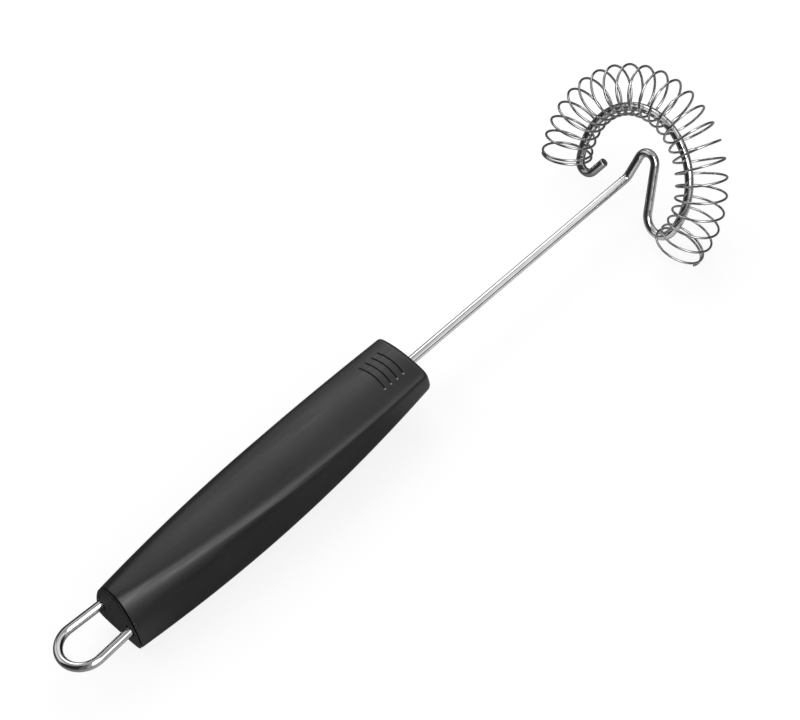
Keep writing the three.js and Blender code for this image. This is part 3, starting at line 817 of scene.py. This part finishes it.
def black_plastic(name, settings, roughness):
    """Satin black moulding with a fine eroded grain, faint clouds, hairline rubs and a painted glint on the
    pip tips.
    """
    made = Shader(name, settings.black, roughness)
    place = made.places()
    cloud = made.noise(place, CLOUDS, 3.0)
    grain = made.noise(place, GRAIN, 2.0, 0.6)
    rubs = made.noise(made.stretched(place, RUBS), 1.0, 2.0)
    light = tuple(min(1.0, 1.35 * v) for v in settings.black)
    dark = tuple(0.85 * v for v in settings.black)
    tone = made.ramp(cloud, [(0.35, dark), (0.68, light)])
    # The pip tips are mixed towards a pale grey: a painted highlight
    made.link(made.mix(made.attribute("pip_glint"), tone, PIP_GLINT_TONE), "Base Color")
    low, high = roughness - 0.05, roughness + 0.06
    made.link(made.ramp(rubs, [(0.3, low), (0.7, high)]), "Roughness")
    made.link(made.bump(grain, 0.00002, 0.35), "Normal")
    return made.material


def polished_steel(name, settings, streaks, shade):
    """Polished stainless wire: drawn streaks along the wire, faint smudges, nearly mirror gloss and colour
    times a painted shade.
    """
    made = Shader(name, settings.steel, settings.roughness, 1.0)
    drawn = made.noise(made.stretched(made.wire_map(), (streaks, DRAWN_ALONG, 1.0)), 1.0, 3.0, 0.6)
    smudge = made.noise(made.places(), SMUDGES, 3.0)
    # The colour times shade: below 1 this is painted shade, a darker copy of the same steel
    tone = tuple(shade * v for v in settings.steel)
    worn = tuple(WORN_SHARE * v for v in tone)
    made.link(made.ramp(smudge, [(0.3, worn), (0.6, tone)]), "Base Color")
    low, high = max(0.02, settings.roughness - 0.04), settings.roughness + 0.06
    made.link(made.ramp(drawn, [(0.32, low), (0.72, high)]), "Roughness")
    made.link(made.bump(drawn, 0.000012, 0.25), "Normal")
    return made.material


def inner_plastic():
    """Plain dark moulding of the hidden carrier block, with a coarse grain."""
    made = Shader("inner_moulding", (0.045, 0.045, 0.048), 0.55)
    place = made.places()
    tones = [(0.3, (0.035, 0.035, 0.038)), (0.7, (0.06, 0.06, 0.064))]
    made.link(made.ramp(made.noise(place, 90.0), tones), "Base Color")
    made.link(made.bump(made.noise(place, 1500.0), 0.00003, 0.4), "Normal")
    return made.material


# Pieces

UP = np.array([0.0, 0.0, 1.0])
SHELL_CREASE = math.radians(50)
CAP_CREASE = math.radians(35)
HOLE_HALF_LENGTH = 5.0


def solid_cut(obj, cutters):
    """Takes the cutters out of a piece with exact booleans, leaves a plain mesh and removes the cutters."""
    for cutter in cutters:
        modifier = obj.modifiers.new("cut", "BOOLEAN")
        modifier.object, modifier.operation, modifier.solver = cutter, "DIFFERENCE", "EXACT"
    graph = bpy.context.evaluated_depsgraph_get()
    made = bpy.data.meshes.new_from_object(obj.evaluated_get(graph))
    made.name = obj.data.name
    obj.modifiers.clear()
    obj.data = made
    for cutter in cutters:
        bpy.data.objects.remove(cutter)


class WHISK_OT_handle_shell(bpy.types.Operator):
    """Handle moulding with its flat, grooves, bore and rear pocket"""

    bl_idname = "whisk.handle_shell"
    bl_label = "Handle shell"

    def execute(self, context):
        settings = context.scene.whisk_handle
        mesh = handle_shell_mesh(settings)
        mesh.set_sharp_from_angle(angle=SHELL_CREASE)
        finish = black_plastic("black_moulding", settings, settings.roughness)
        piece(mesh, finish, "handle", "black_plastic", "handle_shell")
        return {"FINISHED"}


class WHISK_OT_end_cap(bpy.types.Operator):
    """Rear plate of the handle with clear holes round both legs of the loop"""

    bl_idname = "whisk.end_cap"
    bl_label = "End cap"

    def execute(self, context):
        scene = context.scene
        settings, wires = scene.whisk_handle, scene.whisk_wires
        obj = bpy.data.objects.new("end_cap_plate", cap_blank(settings))
        scene.collection.objects.link(obj)
        _, entry, head = loop_path()
        radius = wires.loop_thickness / MM / 2 + LEG_HOLE_CLEARANCE
        reach = direction(head) * HOLE_HALF_LENGTH
        cutters = []
        for side in (1, -1):
            path = np.array([[x, side * y, LOOP_Z] for x, y in (entry + reach, entry - reach)])
            hole = tube("hole", resampled(path, 1.0) * MM, radius * MM, UP, WIRE_SIDES)
            cutter = bpy.data.objects.new("hole", hole)
            scene.collection.objects.link(cutter)
            cutters.append(cutter)
        solid_cut(obj, cutters)
        obj.data.shade_smooth()
        obj.data.set_sharp_from_angle(angle=CAP_CREASE)
        obj.data.materials.clear()
        obj.data.materials.append(black_plastic("cap_moulding", settings, settings.cap_roughness))
        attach(obj, "handle")
        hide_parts("end_cap")
        return {"FINISHED"}


class WHISK_OT_carrier(bpy.types.Operator):
    """Finish of the hidden block that holds the wires inside the handle"""

    bl_idname = "whisk.carrier"
    bl_label = "Wire carrier"

    def execute(self, context):
        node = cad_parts["wire_carrier"]
        node.data.materials.clear()
        node.data.materials.append(inner_plastic())
        return {"FINISHED"}


class WHISK_OT_hanging_loop(bpy.types.Operator):
    """Wire loop at the rear of the handle"""

    bl_idname = "whisk.hanging_loop"
    bl_label = "Hanging loop"

    def execute(self, context):
        wires = context.scene.whisk_wires
        path, _, _ = loop_path()
        radius = wires.loop_thickness / 2
        mesh = tube("hanging_loop_wire", path * MM, radius, UP, WIRE_SIDES, LOOP_END_EDGE * MM)
        finish = polished_steel("loop_steel", wires, WIRE_STREAKS, 1.0)
        piece(mesh, finish, "handle", "steel_wire", "hanging_loop")
        return {"FINISHED"}


class WHISK_OT_whisk_wire(bpy.types.Operator):
    """One bent wire: shaft, kink, S-bend, ring and hook"""

    bl_idname = "whisk.whisk_wire"
    bl_label = "Whisk wire"

    def execute(self, context):
        scene = context.scene
        wires = scene.whisk_wires
        path, square = whisk_path(scene), ring_axes(wires)[2]
        mesh = tube("whisk_wire_rod", path * MM, wires.thickness / 2, square, WIRE_SIDES, WIRE_END_EDGE * MM)
        finish = polished_steel("wire_steel", wires, WIRE_STREAKS, 1.0)
        piece(mesh, finish, "handle", "steel_wire", "whisk_wire")
        return {"FINISHED"}


class WHISK_OT_coil_spring(bpy.types.Operator):
    """Coil spring wound round the ring, one unbroken wire"""

    bl_idname = "whisk.coil_spring"
    bl_label = "Coil spring"

    def execute(self, context):
        scene = context.scene
        path, outward = coil_path(scene)
        radius = scene.whisk_coil.thickness / 2
        mesh = tube("coil_spring_wire", path * MM, radius, outward, SPRING_SIDES, SPRING_END_EDGE * MM, 2)
        finish = polished_steel("spring_steel", scene.whisk_wires, SPRING_STREAKS, SPRING_PAINTED_SHADE)
        piece(mesh, finish, "coil", "spring_steel", "coil_spring")
        return {"FINISHED"}


# Stage, in metres and degrees

CAMERA_PLACE = (-0.1791, -0.5244, 0.7573)
CAMERA_RIGHT = (0.7246, -0.6670, -0.1733)
CAMERA_UP = (0.6139, 0.5104, 0.6022)

# Focal length and width of the film, in millimetres
LENS = 135.0
SENSOR = 36.0

STAGE_MIDDLE = (0.12, 0.0)
FLOOR_HALF = 6.0
FLOOR_GAP = 0.0003
FLOOR_GLOW = 1.06
FLOOR_GLOW_SHARE = 0.8
FLOOR_GLOSS_SHARE = 0.03

# Painted light on the floor, seen by all rays but the camera's: a painted pool of light with tones from its
# middle out, and a painted shadow along x beside the handle
POOL_MIDDLE = (0.115, -0.028)
POOL_STRETCH = 0.25
POOL_REACH = 0.1
LIGHT_POOL_TONES = ((0.0, 1.0), (0.26, 0.95), (0.36, 0.5), (0.45, 0.22), (0.62, 0.11), (1.0, 0.06))
HANDLE_SPAN = (-0.02, 0.16)
HANDLE_SHADE = ((0.12, 1.0), (0.21, 0.37), (0.74, 0.37), (0.84, 1.0))

TENT_RADIUS = 2.4
TENT_GREY = 0.4
TENT_COLUMN_STEP = 2.0
TENT_ROWS = 60
TENT_TOP = 89.5

# Panels of the tent: azimuth from and to, height from and to, softness of the edge, all in degrees, and
# brightness. A later one lies over the ones before it.
PANELS = (
    ("right_upper_box", -87, -47, 24, 50, 8, 0.7),
    ("right_box", -112, -74, 25, 82, 10, 5.0),
    ("low_right_box", -112, -76, -10, 20, 8, 0.75),
    ("high_strip", -50, 14, 50, 66, 8, 1.3),
    ("far_box", -20, 78, 10, 62, 9, 0.95),
    ("far_core", 48, 69, 28, 50, 9, 3.0),
    ("left_box", 97, 147, 25, 51, 8, 0.92),
    ("low_front_card", -75, 54, -10, 25, 7, 0.06),
    ("shaft_bar", -77, -60, 13, 38, 5, 1.15),
    ("low_left_card", 98, 151, -10, 17, 8, 0.04),
    ("near_card", 146, 226, -10, 74, 8, 0.03),
    ("left_bar", 70, 97, -10, 43, 5, 0.03),
    ("near_right_card", -154, -130, -10, 66, 8, 0.15),
)

# Lamps: azimuth and height in degrees, distance and width in metres, and power in watts
LAMPS = (
    ("right_lamp", -95.0, 38.0, 1.5, 0.9, 3.0),
    ("far_lamp", 45.0, 48.0, 1.5, 1.0, 8.0),
    ("left_lamp", 120.0, 45.0, 1.6, 0.8, 4.0),
)


def smooth_step(value, low, high, soft):
    """1 between low and high, 0 outside, with the cubic 3t^2 - 2t^3 over soft on either side."""
    t = np.clip(np.minimum(value - low, high - value) / soft + 0.5, 0, 1)
    return t * t * (3 - 2 * t)


def tent_mesh():
    """A half sphere P = C + r (cos e cos a, cos e sin a, sin e), with its panels' "level" at each P."""
    a = np.radians(np.arange(-180, 180, TENT_COLUMN_STEP))
    e = np.radians(np.linspace(0, TENT_TOP, TENT_ROWS))
    a, e = np.meshgrid(a, e)
    rows = TENT_RADIUS * np.stack([np.cos(e) * np.cos(a), np.cos(e) * np.sin(a), np.sin(e)], -1)
    rows = rows + [*STAGE_MIDDLE, CAD_BOX[0].z - FLOOR_GAP]
    azimuth, height = np.degrees(a), np.degrees(e)
    level = np.full(azimuth.shape, TENT_GREY)
    for _, a0, a1, e0, e1, soft, bright in PANELS:
        turned = (azimuth - (a0 + a1) / 2 + 180) % 360 - 180
        across = smooth_step(turned, (a0 - a1) / 2, (a1 - a0) / 2, soft)
        level += (bright - level) * across * smooth_step(height, e0, e1, soft)
    mesh = grid_mesh("light_tent", rows, False, True)
    values = np.append(level.ravel(), TENT_GREY)
    mesh.attributes.new("level", "FLOAT", "POINT").data.foreach_set("value", values.astype(np.float32))
    return mesh


def seen_directly(made, camera_share, gloss_share):
    """How much of the glow each ray sees: one share for camera rays, one for glossy and transmitted rays."""
    rays = made.node("ShaderNodeLightPath").outputs
    either = made.math("MAXIMUM", rays["Is Glossy Ray"], rays["Is Transmission Ray"])
    gloss = made.math("MULTIPLY", either, gloss_share)
    camera = made.math("MULTIPLY", rays["Is Camera Ray"], camera_share)
    return made.math("MAXIMUM", camera, gloss)


def stage_object(mesh, material):
    """A piece of the stage, which isn't part of the whisk."""
    obj = bpy.data.objects.new(mesh.name, mesh)
    bpy.context.scene.collection.objects.link(obj)
    mesh.materials.append(material)
    return obj


def lay_floor(settings):
    """A plain square of pale paper just under the whisk, shown white where no shadow falls on it.

    To all rays but the camera's its colour holds a painted pool of light beside the whisk, which falls off
    with the distance of (k x, y) from its middle, and a painted shadow beside the handle."""
    low = CAD_BOX[0].z - FLOOR_GAP
    half = FLOOR_HALF
    corners = [(-half, -half, low), (half, -half, low), (half, half, low), (-half, half, low)]
    mesh = bpy.data.meshes.new("floor")
    mesh.from_pydata(corners, [], [(0, 1, 2, 3)])
    made = Shader("floor_paper", settings.floor, 0.9)
    place = made.places()
    middle = (-POOL_MIDDLE[0] * POOL_STRETCH, -POOL_MIDDLE[1], 0.0)
    oblong = made.node("ShaderNodeMapping", Vector=place, Scale=(POOL_STRETCH, 1.0, 0.0), Location=middle)
    away = made.node("ShaderNodeVectorMath", {"operation": "LENGTH"}, _0=oblong.outputs[0]).outputs["Value"]
    # Painted pool of light, times a painted shadow of the handle along x
    tones = [(at, tuple(tone * v for v in settings.floor)) for at, tone in LIGHT_POOL_TONES]
    light_pool = made.ramp(made.share_between(away, 0.0, POOL_REACH), tones)
    along = made.node("ShaderNodeSeparateXYZ", Vector=place).outputs["X"]
    shade = made.ramp(made.share_between(along, *HANDLE_SPAN), HANDLE_SHADE)
    unseen = made.mix(1.0, light_pool, shade, "MULTIPLY")
    seen = made.node("ShaderNodeLightPath").outputs["Is Camera Ray"]
    made.link(made.mix(seen, unseen, (*settings.floor, 1.0)), "Base Color")
    part = seen_directly(made, FLOOR_GLOW_SHARE, FLOOR_GLOSS_SHARE)
    paper = made.principled.outputs[0]
    made.surface(made.node("ShaderNodeMixShader", Fac=part, _1=paper, _2=made.glow(FLOOR_GLOW)).outputs[0])
    stage_object(mesh, made.material)


def hang_tent():
    """Soft panels and dark cards all round, which only the gloss of the whisk shows."""
    made = Shader("tent_panels", (0.5, 0.5, 0.5), 1.0)
    made.surface(made.glow(made.attribute("level")))
    tent = stage_object(tent_mesh(), made.material)
    tent.visible_camera = tent.visible_diffuse = tent.visible_shadow = tent.visible_transmission = False


def light_world(settings):
    """Even grey light from all round, seen as white."""
    world = bpy.data.worlds.new("surroundings")
    world.use_nodes = True
    bpy.context.scene.world = world
    made = Nodes(world.node_tree)
    seen = seen_directly(made, 1.0, 1.0)
    level = made.node("ShaderNodeMapRange", **{"Value": seen, "To Min": settings.world, "To Max": 1.0})
    background = made.tree.nodes["Background"]
    background.inputs["Color"].default_value = WHITE
    made.tree.links.new(level.outputs["Result"], background.inputs["Strength"])


def hang_lamps(settings):
    """Large square lamps round the whisk, each turned to its middle and unseen in its gloss."""
    middle = Vector((*STAGE_MIDDLE, 0.0))
    for name, azimuth, height, away, width, power in LAMPS:
        lamp = bpy.data.lights.new(name, "AREA")
        lamp.shape, lamp.size, lamp.energy = "SQUARE", width, power * settings.lamps
        obj = bpy.data.objects.new(name, lamp)
        bpy.context.scene.collection.objects.link(obj)
        a, e = math.radians(azimuth), math.radians(height)
        out = Vector((math.cos(e) * math.cos(a), math.cos(e) * math.sin(a), math.sin(e)))
        obj.location = middle + away * out
        obj.rotation_mode = "QUATERNION"
        obj.rotation_quaternion = out.to_track_quat("Z", "Y")
        obj.visible_glossy = False


def place_camera():
    """The photograph's camera: its place, its turn and its lens."""
    camera = bpy.data.cameras.new("photo_camera")
    camera.lens, camera.sensor_width, camera.sensor_fit = LENS, SENSOR, "HORIZONTAL"
    camera.clip_start, camera.clip_end = 0.05, 20.0
    right = Vector(CAMERA_RIGHT).normalized()
    back = right.cross(Vector(CAMERA_UP)).normalized()
    obj = bpy.data.objects.new("photo_camera", camera)
    bpy.context.scene.collection.objects.link(obj)
    turn = Matrix((right, back.cross(right), back)).transposed().to_4x4()
    obj.matrix_world = Matrix.Translation(CAMERA_PLACE) @ turn
    bpy.context.scene.camera = obj


class WHISK_OT_stage(bpy.types.Operator):
    """Pale floor, soft panels and lamps, white surroundings and the camera"""

    bl_idname = "whisk.stage"
    bl_label = "Stage"

    def execute(self, context):
        settings = context.scene.whisk_stage
        context.scene.view_settings.view_transform = "Standard"
        lay_floor(settings)
        hang_tent()
        light_world(settings)
        hang_lamps(settings)
        place_camera()
        return {"FINISHED"}


OPERATORS = (
    WHISK_OT_stage,
    WHISK_OT_handle_shell,
    WHISK_OT_end_cap,
    WHISK_OT_carrier,
    WHISK_OT_hanging_loop,
    WHISK_OT_whisk_wire,
    WHISK_OT_coil_spring,
)


class WHISK_PT_panel(bpy.types.Panel):
    """Sizes, colours and pieces of the whisk"""

    bl_idname = "WHISK_PT_panel"
    bl_label = "Sauce whisk"
    bl_space_type = "VIEW_3D"
    bl_region_type = "UI"
    bl_category = "Whisk"

    def draw(self, context):
        scene = context.scene
        for group in (scene.whisk_handle, scene.whisk_wires, scene.whisk_coil, scene.whisk_stage):
            box = self.layout.box()
            for key in group.__annotations__:
                box.prop(group, key)
        for operator in OPERATORS:
            self.layout.operator(operator.bl_idname)


SETTINGS = {
    "whisk_handle": WhiskHandleSettings,
    "whisk_wires": WhiskWireSettings,
    "whisk_coil": WhiskCoilSettings,
    "whisk_stage": WhiskStageSettings,
}
CLASSES = (*SETTINGS.values(), *OPERATORS, WHISK_PT_panel)


def register():
    for cls in CLASSES:
        bpy.utils.register_class(cls)
    for name, group in SETTINGS.items():
        setattr(bpy.types.Scene, name, PointerProperty(type=group))


def unregister():
    for name in SETTINGS:
        delattr(bpy.types.Scene, name)
    for cls in reversed(CLASSES):
        bpy.utils.unregister_class(cls)


def main():
    register()
    for operator in OPERATORS:
        group, name = operator.bl_idname.split(".")
        getattr(getattr(bpy.ops, group), name)()


if __name__ == "__main__":
    main()
